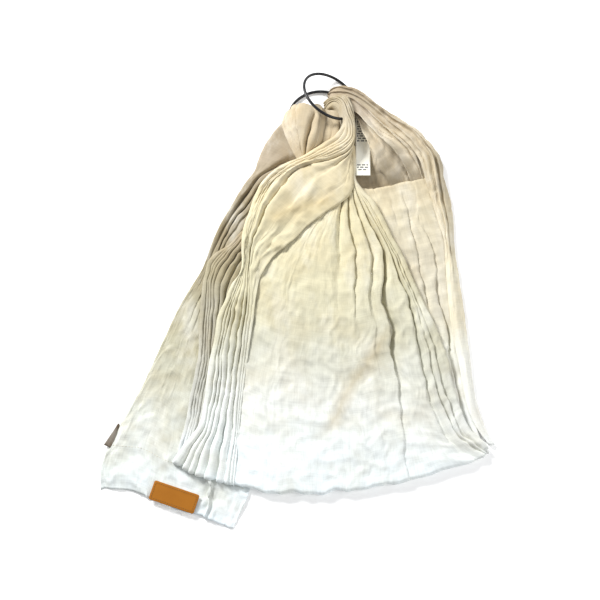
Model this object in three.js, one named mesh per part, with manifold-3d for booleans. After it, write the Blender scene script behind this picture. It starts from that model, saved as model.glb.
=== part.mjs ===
// A ring-sling baby carrier, laid flat: one long linen cloth with its gathered shoulder end
// sewn round two metal rings, its middle folded up into a pouch, and its free end drawn
// through the rings and spread to the left as a tail. Millimetres, +Z up, the table at z = 0,
// the rings towards +Y. The cloth is built as closed sections, one for each stretch of it.
import * as THREE from 'three';
import { mergeVertices } from 'three/addons/utils/BufferGeometryUtils.js';
import Module from 'manifold-3d';

// ---- driving dimensions ----------------------------------------------------------------
const GAP = 0.3; // what touching pieces keep between them
const GROWTH = 2 * GAP; // a neighbour grows by this before it cuts, so that corners clear too
const SHORT_EDGE = 0.02;

const RING_RADIUS = 40; // to the middle of the wire: a 76 mm (3 inch) ring inside
const WIRE_RADIUS = 2;
const RING_CLEARANCE = 1.2; // round the wire, in the cloth that it passes through
// held: where on the ring the cloth's tunnels are; swing: how far it turns about them
const UPPER_RING = { centre: [46, 274], turn: -49.8, lean: 36.3, held: [285, 10], swing: -25 };
const LOWER_RING = { centre: [29.8, 251.2], turn: 22, lean: 16.7, held: [320, 190], swing: -10 };

const TAIL_THICKNESS = 4;
const TAIL_PIVOT = [-25, 165];
const TAIL_NECK_RADIUS = 40;
const TAIL_SWING = -20; // degrees about +Z, out to the left
const TAIL_HEADROOM = 5.8; // everything over the tail stays above this
const TAIL_PLEAT_PITCH = 7;
const HEM_WIDTH = 10;

const PATCH = { centre: [-157.8, -266.6], size: [61.5, 25.5], corner: 2.5, thickness: 1.6, turn: -18.5 };
const LABEL = { top: [93.5, 247], size: [20, 84], thickness: 0.5, height: 21.5 };
const THREAD = 0.5;
const PATCH_TOP = TAIL_THICKNESS + THREAD + 2 * GAP + PATCH.thickness;

// ---- solids ----------------------------------------------------------------------------
const wasm = await Module();
wasm.setup();

function closed(geometry) {
  const bare = geometry.clone();
  bare.deleteAttribute('normal');
  bare.deleteAttribute('uv');
  return mergeVertices(bare, 1e-4);
}

function toSolid(geometry) {
  const { position } = geometry.attributes;
  const vertProperties = Float32Array.from(position.array);
  const triVerts = Uint32Array.from(geometry.index.array);
  return new wasm.Manifold(new wasm.Mesh({ numProp: 3, vertProperties, triVerts }));
}

function toGeometry(solid) {
  const { vertProperties, triVerts } = solid.getMesh();
  const geometry = new THREE.BufferGeometry();
  geometry.setAttribute('position', new THREE.BufferAttribute(vertProperties, 3));
  geometry.setIndex(withoutShortEdges(geometry.attributes.position, triVerts));
  geometry.computeVertexNormals();
  return geometry;
}

// A cut leaves some very short edges: their ends become one point, the faces on them go,
// and so do pairs of faces that then lie back to back.
function withoutShortEdges(position, corners) {
  const joined = Array.from({ length: position.count }, (_, i) => i);
  const end = (i) => (joined[i] === i ? i : end(joined[i]));
  const point = (i) => new THREE.Vector3().fromBufferAttribute(position, i);
  for (let i = 0; i < corners.length; i += 1) {
    const [a, b] = [corners[i], corners[i % 3 === 2 ? i - 2 : i + 1]];
    if (point(a).distanceTo(point(b)) < SHORT_EDGE) joined[end(a)] = end(b);
  }
  const faces = new Map();
  for (let i = 0; i < corners.length; i += 3) {
    const face = Array.from(corners.slice(i, i + 3), end);
    if (new Set(face).size < 3) continue;
    const key = [...face].sort((a, b) => a - b).join();
    if (faces.has(key)) faces.delete(key);
    else faces.set(key, face);
  }
  return [...faces.values()].flat();
}

// The same shape, swollen: each point moves out along its normal.
function grown(geometry, distance) {
  const swollen = closed(geometry);
  swollen.computeVertexNormals();
  const { position, normal } = swollen.attributes;
  for (let i = 0; i < position.count; i += 1) {
    const point = new THREE.Vector3().fromBufferAttribute(position, i);
    point.addScaledVector(new THREE.Vector3().fromBufferAttribute(normal, i), distance);
    position.setXYZ(i, point.x, point.y, point.z);
  }
  return swollen;
}

// A piece cut back so that it stays clear of its neighbours.
function fitted(geometry, ...neighbours) {
  let solid = toSolid(closed(geometry));
  for (const neighbour of neighbours) solid = solid.subtract(toSolid(grown(neighbour, GROWTH)));
  return toGeometry(solid);
}

function hollowed(geometry, cutter) {
  return toGeometry(toSolid(closed(geometry)).subtract(cutter));
}

const vectors = (points) => points.map(([x, y, z = 0]) => new THREE.Vector3(x, y, z));
const curveThrough = (points) => new THREE.CatmullRomCurve3(vectors(points), false, 'centripetal');

// A closed skin over cross-sections that all have the same number of points.
function loft(sections) {
  const count = sections[0].length;
  const rows = sections.length;
  const middle = (section) => section
    .reduce((sum, point) => sum.add(point), new THREE.Vector3())
    .divideScalar(count);
  const points = [...sections.flat(), middle(sections[0]), middle(sections[rows - 1])];
  const index = [];
  for (let row = 0; row < rows - 1; row += 1) {
    for (let i = 0; i < count; i += 1) {
      const a = row * count + i;
      const b = row * count + ((i + 1) % count);
      index.push(a, b, b + count, a, b + count, a + count);
    }
  }
  const last = (rows - 1) * count;
  for (let i = 0; i < count; i += 1) {
    const next = (i + 1) % count;
    index.push(next, i, rows * count);
    index.push(last + i, last + next, rows * count + 1);
  }
  const geometry = new THREE.BufferGeometry().setFromPoints(points);
  geometry.setIndex(index);
  return facingOut(geometry);
}

function facingOut(geometry) {
  const { position } = geometry.attributes;
  const { array } = geometry.index;
  const [a, b, c] = vectors([[0, 0, 0], [0, 0, 0], [0, 0, 0]]);
  let volume = 0;
  for (let i = 0; i < array.length; i += 3) {
    a.fromBufferAttribute(position, array[i]);
    b.fromBufferAttribute(position, array[i + 1]);
    c.fromBufferAttribute(position, array[i + 2]);
    volume += a.dot(b.cross(c));
  }
  if (volume < 0) geometry.setIndex(Array.from(array).reverse());
  return geometry;
}

// A stretch of cloth between two edges: flat underneath, rounded over the top. Its far end
// bows out by sag.
function layer({ left, right, floor = 0, crown = 2, sag = 0, across = 8, along = 14 }) {
  const edges = [left, right].map(curveThrough);
  const sections = [];
  for (let row = 0; row <= along; row += 1) {
    const [a, b] = edges.map((edge) => edge.getPointAt(row / along));
    const bow = sag * (row / along) ** 3;
    const top = [];
    for (let i = across; i >= 0; i -= 1) {
      const arch = Math.sin((Math.PI * i) / across);
      const point = a.clone().lerp(b, i / across);
      point.y -= bow * arch;
      point.z += crown * arch ** 0.7;
      top.push(point);
    }
    const under = top.map((point) => new THREE.Vector3(point.x, point.y, floor)).reverse();
    sections.push([...under, ...top]);
  }
  return loft(sections);
}

// A gathered bundle with oval sections that change along its path.
function bundle({ path, widths, heights, sides = 12, along = 14 }) {
  const route = curveThrough(path);
  const sizes = curveThrough(widths.map((width, i) => [width / 2, heights[i] / 2]));
  const sections = [];
  for (let row = 0; row <= along; row += 1) {
    const centre = route.getPoint(row / along);
    const ahead = route.getTangent(row / along);
    const sideways = new THREE.Vector3(ahead.y, -ahead.x, 0).normalize();
    const size = sizes.getPoint(row / along);
    const section = [];
    for (let i = 0; i < sides; i += 1) {
      const angle = (2 * Math.PI * i) / sides;
      const point = centre.clone().addScaledVector(sideways, size.x * Math.cos(angle));
      point.z += size.y * Math.sin(angle);
      section.push(point);
    }
    sections.push(section);
  }
  return loft(sections);
}

// A flat strip of cloth or thread that follows a line, standing on z = floor.
function strip({ line, width, floor, thickness, along = 12 }) {
  const route = curveThrough(line);
  const sections = [];
  for (let row = 0; row <= along; row += 1) {
    const centre = route.getPoint(row / along);
    const ahead = route.getTangent(row / along);
    const sideways = new THREE.Vector3(ahead.y, -ahead.x, 0).setLength(width / 2);
    const [a, b] = [centre.clone().add(sideways), centre.clone().sub(sideways)];
    const lift = (point, z) => new THREE.Vector3(point.x, point.y, point.z + z);
    const top = floor + thickness;
    sections.push([lift(a, floor), lift(b, floor), lift(b, top), lift(a, top)]);
  }
  return loft(sections);
}

function slab(shape, floor, thickness, curveSegments = 8) {
  const geometry = new THREE.ExtrudeGeometry(shape, {
    depth: thickness,
    bevelEnabled: false,
    curveSegments,
  });
  return geometry.translate(0, 0, floor);
}

function roundedRectangle(width, height, corner) {
  const shape = new THREE.Shape();
  const [x, y] = [width / 2 - corner, height / 2 - corner];
  const quarter = Math.PI / 2;
  shape.absarc(x, y, corner, 0, quarter);
  shape.absarc(-x, y, corner, quarter, 2 * quarter);
  shape.absarc(-x, -y, corner, 2 * quarter, 3 * quarter);
  shape.absarc(x, -y, corner, 3 * quarter, 4 * quarter);
  return shape;
}

// ---- rings -----------------------------------------------------------------------------
const radians = THREE.MathUtils.degToRad;

// A ring's own axes: X level along its hinge side, Y up its slope, Z through its hole.
// Its far side rests on the table.
function ringPlacement({ centre, turn, lean }) {
  const [t, l] = [radians(turn), radians(lean)];
  const level = new THREE.Vector3(Math.cos(t), Math.sin(t), 0);
  const slope = new THREE.Vector3(Math.sin(t) * Math.cos(l), -Math.cos(t) * Math.cos(l), Math.sin(l));
  const height = WIRE_RADIUS + RING_RADIUS * Math.sin(l);
  return new THREE.Matrix4()
    .makeBasis(level, slope, level.clone().cross(slope))
    .setPosition(centre[0], centre[1], height);
}

function ringPoint(ring, degrees) {
  const angle = radians(degrees);
  return new THREE.Vector3(RING_RADIUS * Math.cos(angle), RING_RADIUS * Math.sin(angle), 0)
    .applyMatrix4(ringPlacement(ring));
}

// The line through the two places where the cloth holds a ring, which it swings about.
function swingLine(ring) {
  const [from, to] = ring.held.map((degrees) => ringPoint(ring, degrees));
  return { point: from, direction: to.clone().sub(from).normalize() };
}

function turnedAbout({ point, direction }, degrees) {
  const [x, y, z] = point.toArray();
  return new THREE.Matrix4()
    .makeTranslation(x, y, z)
    .multiply(new THREE.Matrix4().makeRotationAxis(direction, radians(degrees)))
    .multiply(new THREE.Matrix4().makeTranslation(-x, -y, -z));
}

// The room that a ring needs through its whole swing.
function ringRoom(ring, steps) {
  const wire = closed(new THREE.TorusGeometry(RING_RADIUS, WIRE_RADIUS + RING_CLEARANCE, 7, 30));
  wire.applyMatrix4(ringPlacement(ring));
  let room = toSolid(wire);
  for (let step = 1; step <= steps; step += 1) {
    const turned = wire.clone().applyMatrix4(turnedAbout(swingLine(ring), (ring.swing * step) / steps));
    room = room.add(toSolid(turned));
  }
  return room;
}

const ringsRoom = ringRoom(UPPER_RING, 2).add(ringRoom(LOWER_RING, 3));

// ---- tail ------------------------------------------------------------------------------
// Seen from above, from the round neck down the long left edge, along the end, and back up.
function tailShape(margin = 0) {
  const [x, y] = TAIL_PIVOT;
  const shape = new THREE.Shape();
  const radius = TAIL_NECK_RADIUS + margin;
  shape.absarc(x, y, radius, radians(-20), radians(192));
  const leftEdge = [[-98, 103], [-143, 8], [-193, -101], [-245, -232]];
  shape.splineThru(leftEdge.map(([px, py]) => new THREE.Vector2(px - margin, py)));
  const endEdge = [[-254, -248], [-228, -251], [-163, -273], [-115, -289], [-73, -311]];
  for (const [px, py] of endEdge) shape.lineTo(px + margin * Math.sign(px + 200), py - margin);
  return shape;
}

// The flat room that the tail needs through its whole swing.
function tailRoom(steps = 4) {
  const layerOfRoom = closed(slab(tailShape(1), -1, TAIL_HEADROOM + 1));
  const pivot = { point: new THREE.Vector3(...TAIL_PIVOT, 0), direction: new THREE.Vector3(0, 0, 1) };
  let room = toSolid(layerOfRoom);
  for (let step = 1; step <= steps; step += 1) {
    const turned = layerOfRoom.clone().applyMatrix4(turnedAbout(pivot, (TAIL_SWING * step) / steps));
    room = room.add(toSolid(turned));
  }
  return room;
}

const roomForTail = tailRoom();
const overTail = (geometry) => hollowed(geometry, roomForTail);
const roundRings = (geometry) => hollowed(geometry, ringsRoom);

function tailPleat(number) {
  const shift = TAIL_PLEAT_PITCH * number;
  const line = [[-54 - shift, 146], [-77 - shift, 108], [-93 - shift, 78]];
  const [floor, thickness] = [TAIL_THICKNESS + GAP, 3];
  return strip({ line, width: TAIL_PLEAT_PITCH - 2, floor, thickness, along: 6 });
}

function tailHem() {
  const line = [[-226, -247], [-200, -256], [-163, -268], [-117, -283], [-79, -302]];
  return strip({ line, width: HEM_WIDTH, floor: TAIL_THICKNESS + GAP, thickness: THREAD });
}

function tailSideHem() {
  const line = [[-134, 12], [-158, -42], [-194, -118], [-239, -230]];
  return strip({ line, width: HEM_WIDTH - 2, floor: TAIL_THICKNESS + GAP, thickness: THREAD });
}

function tailHemStitching() {
  const line = [[-128, -275], [-114, -280], [-84, -295]];
  const floor = TAIL_THICKNESS + THREAD + 2 * GAP;
  return strip({ line, width: 1, floor, thickness: THREAD, along: 6 });
}

// ---- cloth -----------------------------------------------------------------------------
const tailRoot = layer({
  left: [[-12, 241, 14], [-45, 208, 12], [-66, 172, 10]],
  right: [[4, 240, 16], [8, 210, 14], [8, 178, 12]],
  floor: TAIL_HEADROOM,
  crown: 3,
  along: 8,
});

const seatFold = bundle({
  path: [
    [-139, -214, 10], [-116, -230, 9], [-83, -239, 9], [-55, -246, 9], [5, -247, 9],
    [69, -247, 9], [131, -236, 9], [181, -225, 9], [219, -211, 9], [244, -198, 9],
  ],
  widths: [18, 20, 20, 20, 20, 20, 20, 20, 20, 18],
  heights: [17, 18, 18, 18, 18, 18, 18, 18, 18, 17],
  along: 24,
});

const backPanel = layer({
  left: [[-40, 98, 9], [-86, 50, 9], [-102, -8, 9], [-112, -90, 9], [-128, -168, 9], [-134, -205, 9]],
  right: [[192, 168, 9], [204, 128, 9], [213, 61, 9], [222, -8, 9], [236, -110, 9], [250, -186, 9]],
  crown: 1,
  sag: 40,
});

const backLeftPleats = layer({
  left: [[-44, 106, 11], [-100, 62, 11], [-119, 13, 11], [-123, -88, 11], [-141, -181, 11], [-147, -206, 11]],
  right: [[-38, 94, 12], [-86, 50, 12], [-103, -8, 12], [-113, -90, 12], [-129, -168, 12], [-135, -205, 12]],
  floor: TAIL_HEADROOM,
  crown: 2,
  across: 4,
});

const shoulderPanel = layer({
  left: [[91, 260, 17], [84, 222, 12], [80, 180, 10], [79, 143, 10]],
  right: [[112, 258, 15], [152, 228, 13], [181, 197, 12], [194, 177, 10]],
  crown: 6,
});

const shoulderLoop = layer({
  left: [[47, 276, 16], [60, 268, 20], [76, 263, 24], [90, 262, 18]],
  right: [[47, 288, 15], [62, 291, 20], [82, 288, 18], [111, 260, 16]],
  crown: 8,
  along: 10,
});

const frontPanel = layer({
  left: [[-36, 156, 18], [-68, 85, 18], [-80, 10, 18], [-84, -110, 18], [-94, -228, 16]],
  right: [[76, 132, 18], [86, 79, 18], [101, -10, 18], [119, -104, 18], [158, -222, 16]],
  floor: 10.5,
  crown: 4,
  sag: 12,
});

const frontLeftPleats = layer({
  left: [[-47, 152, 19], [-90, 66, 19], [-110, -30, 19], [-119, -123, 19], [-143, -214, 17]],
  right: [[-37, 156, 20], [-69, 85, 20], [-81, 10, 20], [-85, -110, 20], [-95, -230, 18]],
  floor: 14.5,
  crown: 3,
  across: 4,
});

const frontRightPleats = layer({
  left: [[77, 132, 19], [87, 79, 20], [102, -10, 20], [120, -104, 20], [159, -222, 18]],
  right: [[81, 132, 18], [111, 65, 19], [142, -21, 19], [182, -143, 19], [228, -210, 17]],
  floor: 10.5,
  crown: 3,
  across: 4,
});

const tailWrap = layer({
  left: [[0, 181, 14], [-7, 204, 21], [-12, 226, 25], [-11, 243, 26], [-3, 256, 20]],
  right: [[9, 181, 14], [34, 204, 22], [42, 226, 28], [40, 245, 28], [32, 257, 22]],
  floor: TAIL_HEADROOM,
  crown: 12,
  along: 12,
});

const innerFold = layer({
  left: [[46, 206, 16], [45, 226, 18], [44, 243, 18]],
  right: [[62, 206, 18], [66, 226, 20], [66, 242, 20]],
  floor: TAIL_HEADROOM,
  crown: 3,
  across: 4,
  along: 6,
});

const frontStrap = layer({
  left: [[63, 206, 38], [29, 184, 32], [5, 176, 30], [-15, 168, 29], [-40, 148, 28], [-62, 108, 27]],
  right: [[76, 206, 34], [73, 153, 29], [45, 119, 28], [-9, 77, 28], [-30, 58, 27]],
  floor: 12,
  crown: 3,
});

const strapRoll = layer({
  left: [[62, 207, 38], [64, 229, 40], [61, 244, 42], [52, 258, 38]],
  right: [[77, 207, 32], [78, 229, 34], [79, 248, 34], [72, 261, 34]],
  floor: TAIL_HEADROOM,
  crown: 8,
  along: 10,
});

// ---- trim ------------------------------------------------------------------------------
function patchOutline() {
  return roundedRectangle(...PATCH.size, PATCH.corner);
}

function patchStitchingGeometry() {
  const [width, height] = PATCH.size;
  const [inset, thread] = [2.5, 0.8];
  const ring = roundedRectangle(width - 2 * inset, height - 2 * inset, 1.6);
  const [innerWidth, innerHeight] = [width - 2 * (inset + thread), height - 2 * (inset + thread)];
  ring.holes.push(roundedRectangle(innerWidth, innerHeight, 1));
  return slab(ring, 0, THREAD, 4);
}

function placedOnTail(mesh, height) {
  mesh.position.set(...PATCH.centre, height);
  mesh.rotation.z = radians(PATCH.turn);
  return mesh;
}

function labelGeometry() {
  const [width, length] = LABEL.size;
  return new THREE.BoxGeometry(width, length, LABEL.thickness);
}

function shoulderStitchRow(number) {
  const from = new THREE.Vector3(108, 226 - 12 * number, 0);
  const to = new THREE.Vector3(130 + 4 * number, 236 - 8 * number, 0);
  const line = [from, to].map((point) => [point.x, point.y, 0]);
  return strip({ line, width: 1, floor: 22, thickness: THREAD, along: 2 });
}

// ---- materials -------------------------------------------------------------------------
const cloth = (color) => new THREE.MeshStandardMaterial({ color, roughness: 0.9, metalness: 0 });
const thread = () => new THREE.MeshStandardMaterial({ color: 0xe9e2d0, roughness: 0.8 });
const metal = () => new THREE.MeshStandardMaterial({ color: 0x111113, roughness: 0.35, metalness: 0.9 });
const leather = () => new THREE.MeshStandardMaterial({ color: 0xc4761a, roughness: 0.55 });
const satin = () => new THREE.MeshStandardMaterial({ color: 0xefece0, roughness: 0.45 });
const TAN = 0xcdb592;
const CREAM = 0xe7dcb8;
const OFF_WHITE = 0xece9e0;

// ---- assembly --------------------------------------------------------------------------
const sling = new THREE.Group();

function add(name, geometry, material) {
  const mesh = new THREE.Mesh(geometry, material);
  mesh.name = name;
  sling.add(mesh);
  return mesh;
}

for (const [name, ring] of [['upper_ring', UPPER_RING], ['lower_ring', LOWER_RING]]) {
  const mesh = add(name, new THREE.TorusGeometry(RING_RADIUS, WIRE_RADIUS, 8, 48), metal());
  mesh.applyMatrix4(ringPlacement(ring));
}

add('tail_panel', slab(tailShape(), 0, TAIL_THICKNESS), cloth(OFF_WHITE));
for (const number of [1, 2, 3]) add(`tail_pleat_${number}`, tailPleat(number - 1), cloth(TAN));
add('tail_hem', tailHem(), cloth(OFF_WHITE));
add('tail_side_hem', tailSideHem(), cloth(OFF_WHITE));
add('tail_hem_stitching', tailHemStitching(), thread());
placedOnTail(
  add('leather_patch', slab(patchOutline(), 0, PATCH.thickness), leather()),
  PATCH_TOP - PATCH.thickness,
);
placedOnTail(add('patch_stitching', patchStitchingGeometry(), thread()), PATCH_TOP + GAP);

add('seat_fold', overTail(seatFold), cloth(OFF_WHITE));
add('back_panel', overTail(fitted(backPanel, seatFold)), cloth(CREAM));
add('back_left_pleats', fitted(backLeftPleats, backPanel, seatFold), cloth(CREAM));
add('tail_root', roundRings(fitted(tailRoot, tailWrap, frontStrap)), cloth(TAN));
add('shoulder_panel', fitted(shoulderPanel, backPanel, strapRoll), cloth(TAN));
add('shoulder_loop', roundRings(fitted(shoulderLoop, shoulderPanel, strapRoll)), cloth(TAN));
add('front_panel', fitted(frontPanel, backPanel, backLeftPleats, seatFold), cloth(CREAM));
add('front_left_pleats', fitted(frontLeftPleats, frontPanel, backLeftPleats, seatFold), cloth(CREAM));
add('front_right_pleats', fitted(frontRightPleats, frontPanel, backPanel, seatFold), cloth(CREAM));
add('tail_wrap', roundRings(fitted(tailWrap, frontStrap)), cloth(TAN));
add('inner_fold', roundRings(fitted(innerFold, tailWrap, frontStrap, strapRoll)), cloth(TAN));
add(
  'front_strap',
  fitted(frontStrap, frontPanel, frontLeftPleats, frontRightPleats, shoulderPanel, strapRoll),
  cloth(CREAM),
);
add('strap_roll', roundRings(strapRoll), cloth(TAN));

const label = add('care_label', labelGeometry(), satin());
label.position.set(LABEL.top[0], LABEL.top[1] - LABEL.size[1] / 2, LABEL.height);
const labelThread = add('label_stitching', new THREE.BoxGeometry(16, 1, THREAD), thread());
const labelThreadHeight = LABEL.height + LABEL.thickness / 2 + GAP + THREAD / 2;
labelThread.position.set(LABEL.top[0], LABEL.top[1] - 3, labelThreadHeight);
for (const number of [1, 2, 3]) {
  add(`shoulder_stitch_row_${number}`, shoulderStitchRow(number - 1), thread());
}

export default sling;
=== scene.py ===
"""The looks of a ring sling baby carrier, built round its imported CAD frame.

The sling lies flat: one long dyed linen cloth, gathered through two metal rings. Each stretch of the
cloth is a surface through a few lines that run along it. Pleats and crinkles are worked into it.
Lines are in millimetres in the row frame; everything that Blender gets is in metres."""
import math
from collections import namedtuple

import bpy
import numpy as np
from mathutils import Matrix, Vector


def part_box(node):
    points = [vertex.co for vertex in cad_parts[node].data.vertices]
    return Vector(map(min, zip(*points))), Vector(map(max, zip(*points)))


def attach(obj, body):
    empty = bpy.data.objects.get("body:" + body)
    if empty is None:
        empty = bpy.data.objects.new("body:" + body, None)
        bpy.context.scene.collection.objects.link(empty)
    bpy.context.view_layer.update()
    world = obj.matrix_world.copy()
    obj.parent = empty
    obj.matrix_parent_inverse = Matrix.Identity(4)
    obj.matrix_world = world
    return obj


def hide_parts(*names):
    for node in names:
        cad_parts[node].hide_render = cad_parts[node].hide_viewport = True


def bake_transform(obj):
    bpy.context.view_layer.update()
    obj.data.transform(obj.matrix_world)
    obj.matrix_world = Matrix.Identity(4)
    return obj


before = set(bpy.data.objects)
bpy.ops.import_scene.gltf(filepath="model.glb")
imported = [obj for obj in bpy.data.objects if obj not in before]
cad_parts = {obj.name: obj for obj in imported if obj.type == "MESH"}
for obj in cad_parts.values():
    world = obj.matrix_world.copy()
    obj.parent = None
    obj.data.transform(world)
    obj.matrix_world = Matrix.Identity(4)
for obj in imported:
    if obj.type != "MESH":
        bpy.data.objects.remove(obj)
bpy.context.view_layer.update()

MM = 0.001
CLOTH_THICKNESS = 0.5 * MM
ROW_STEP = 3.0 * MM         # spacing of the mesh along the cloth
CELL = 2.0 * MM             # and across it, where it has no narrow pleats
PLEAT_CELLS = 12            # a deep pleat has at least this many mesh cells across
FLAT_CELLS, MOST_CELLS = 4, 40
DEEP = 1                    # millimetres: a pleat is deep from here on
GAP_PULL = 0.09             # how much closer together the mesh's columns lie in the gaps
WIRE_RADIUS = 2.0 * MM
RING_RADIUS = 40 * MM
RING_STEPS, WIRE_STEPS = 160, 20
THREAD_RADIUS = 0.28 * MM
PATCH_SIZE = np.array([61.5, 25.5]) * MM
PATCH_TURN = -18.5          # degrees
PATCH_CORNER = 2.5 * MM
PATCH_THICKNESS = 1.8 * MM
PATCH_SEAM = 2.75 * MM      # from the patch's edge to its stitches
LABEL_WIDTH, LABEL_LENGTH = 20, 84  # millimetres, as is its top left corner
LABEL_CORNER = (80.5, 246.5)
LOOSE_THREADS = 16

# Pleats between two neighbouring lines: how many, how deep the gap after each is (millimetres, from the
# cloth's start to its end), how far each leans over the next as a share of its width, how flat its top
# is, how unlike one another they are, how wrinkled, and how deep the gap at the second line is.
Folds = namedtuple(
    "Folds", "count depth lean crisp uneven wrinkles last", defaults=(0.0, 2.0, 0.5, 1.0, None)
)
# How an edge is turned under: down to this height, and this far back in, both in millimetres.
Turn = namedtuple("Turn", "floor tuck", defaults=(6.0,))


# ---------------------------------------------------------------- curves and noise

def hermite(x, knots, values):
    """The smooth curve through values at knots, read at x."""
    slopes = np.gradient(values, knots, axis=0)
    i = np.clip(np.searchsorted(knots, x) - 1, 0, len(knots) - 2)
    gap = (knots[i + 1] - knots[i])[:, None]
    t = (x - knots[i])[:, None] / gap
    start = (2 * t**3 - 3 * t**2 + 1) * values[i] + (t**3 - 2 * t**2 + t) * gap * slopes[i]
    end = (3 * t**2 - 2 * t**3) * values[i + 1] + (t**3 - t**2) * gap * slopes[i + 1]
    return start + end


def lengths(points):
    """The distance along a polyline to each of its points."""
    steps = np.linalg.norm(np.diff(points, axis=0), axis=1)
    return np.concatenate([[0.0], np.cumsum(steps)])


def route(points, count):
    """count points, evenly spaced along the smooth curve through points in millimetres."""
    points = np.array(points, float) * MM
    knots = np.concatenate([[0.0], np.cumsum(np.sqrt(np.diff(lengths(points))))])
    fine = hermite(np.linspace(0, knots[-1], 60 * len(points)), knots, points)
    along = lengths(fine)
    wanted = np.linspace(0, along[-1], count)
    return np.stack([np.interp(wanted, along, fine[:, k]) for k in range(3)], axis=1)


def noise(x, y, seed):
    """Smooth noise over the plane, from about -1 to 1, one bump for each unit."""
    random = np.random.default_rng(seed)
    order = random.permutation(256)
    order = np.concatenate([order, order])
    angles = random.uniform(0, 2 * math.pi, 256)
    x, y = np.broadcast_arrays(np.asarray(x, float), np.asarray(y, float))
    left, low = np.floor(x).astype(int), np.floor(y).astype(int)
    u, v = x - left, y - low

    def corner(right, up):
        angle = angles[order[order[(left + right) % 256] + (low + up) % 256]]
        return np.cos(angle) * (u - right) + np.sin(angle) * (v - up)

    fade_u = u**3 * (u * (6 * u - 15) + 10)
    fade_v = v**3 * (v * (6 * v - 15) + 10)
    bottom = corner(0, 0) * (1 - fade_u) + corner(1, 0) * fade_u
    top = corner(0, 1) * (1 - fade_u) + corner(1, 1) * fade_u
    return 1.5 * (bottom * (1 - fade_v) + top * fade_v)


def unit(vectors):
    return vectors / np.maximum(np.linalg.norm(vectors, axis=-1, keepdims=True), 1e-9)


def normals(grid):
    """Unit normals of a grid of points, on the side that faces up where it lies flat.

    Lines run towards -Y and are counted towards +X, so along x beside points up."""
    along, beside = np.gradient(grid, axis=0), np.gradient(grid, axis=1)
    return unit(np.cross(along, beside))


# ---------------------------------------------------------------- cloth

def across(lines, places):
    """The smooth surface through lines (rows, lines, 3), read at places counted in lines."""
    slopes = np.gradient(lines, axis=1)
    gaps = np.linalg.norm(np.diff(lines, axis=1), axis=-1, keepdims=True)
    nearest = np.minimum(gaps[:, :-1], gaps[:, 1:])
    nearest = np.concatenate([gaps[:, :1], nearest, gaps[:, -1:]], axis=1)
    steepness = np.linalg.norm(slopes, axis=-1, keepdims=True)
    slopes *= np.minimum(1, 3 * nearest / np.maximum(steepness, 1e-9))  # or it would fold over itself
    i = np.clip(np.floor(places).astype(int), 0, lines.shape[1] - 2)
    t = (places - i)[..., None]

    def at(values, k):
        return np.take_along_axis(values, (i + k)[..., None], axis=1)

    start = (2 * t**3 - 3 * t**2 + 1) * at(lines, 0) + (t**3 - 2 * t**2 + t) * at(slopes, 0)
    end = (3 * t**2 - 2 * t**3) * at(lines, 1) + (t**3 - t**2) * at(slopes, 1)
    return start + end


def profile(values, v):
    """Values given from the cloth's start to its end, read at v from 0 to 1."""
    values = np.atleast_1d(np.array(values, float))
    return np.interp(v, np.linspace(0, 1, len(values)), values)


def columns(folds, widths, v, seed, open_left, open_right):
    """Where each column of the mesh lies, and its place in its pleat, one row for each v.

    A pleat's turn goes from 0 in the gap on its left over 0.5 at its top to 1 in the gap on its right.
    At an open side edge there is only the half that goes up to the edge."""
    rows, parts, number = len(v), [], 0
    before = profile(folds[0].depth, v)  # how deep the gap on the left is
    for line, fold in enumerate(folds):
        edges = line + np.ones((rows, 1)) * np.arange(fold.count + 1) / fold.count
        for k in range(1, fold.count):
            edges[:, k] += 0.5 * fold.uneven / fold.count * noise(number + k + 0.5, 5 * v, seed + 1)
        fewest = PLEAT_CELLS if np.max(fold.depth) > DEEP else FLAT_CELLS
        steps = int(np.clip(round(widths[line] / fold.count / CELL), fewest, MOST_CELLS))
        for k in range(fold.count):
            final = k == fold.count - 1
            at_end = final and line == len(folds) - 1
            t = np.arange(steps) / steps
            if at_end:
                t = np.append(t, 1.0)
            place = turn = t - GAP_PULL * np.sin(2 * math.pi * t)
            if open_left and number == 0:
                place, turn = t, 0.5 + 0.5 * t
            if open_right and at_end:
                place, turn = t, 0.5 * t
            share = edges[:, k + 1, None] - edges[:, k, None]
            change = np.clip(1 + 1.8 * fold.uneven * noise(number + 0.5, 6 * v, seed + 2), 0, 1.6)
            after = profile(fold.depth, v) * change
            if final and fold.last is not None:
                after = profile(fold.last, v)
            depth = before[:, None] * (1 - t) + after[:, None] * t
            ones = np.ones((rows, len(t)))
            parts.append((
                edges[:, k, None] + share * place,
                ones * turn,
                depth * MM,
                ones * profile(fold.lean, v)[:, None],
                ones * fold.crisp,
                ones * share,
            ))
            before = after
            number += 1
    return [np.concatenate(part, axis=1) for part in zip(*parts)]


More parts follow.
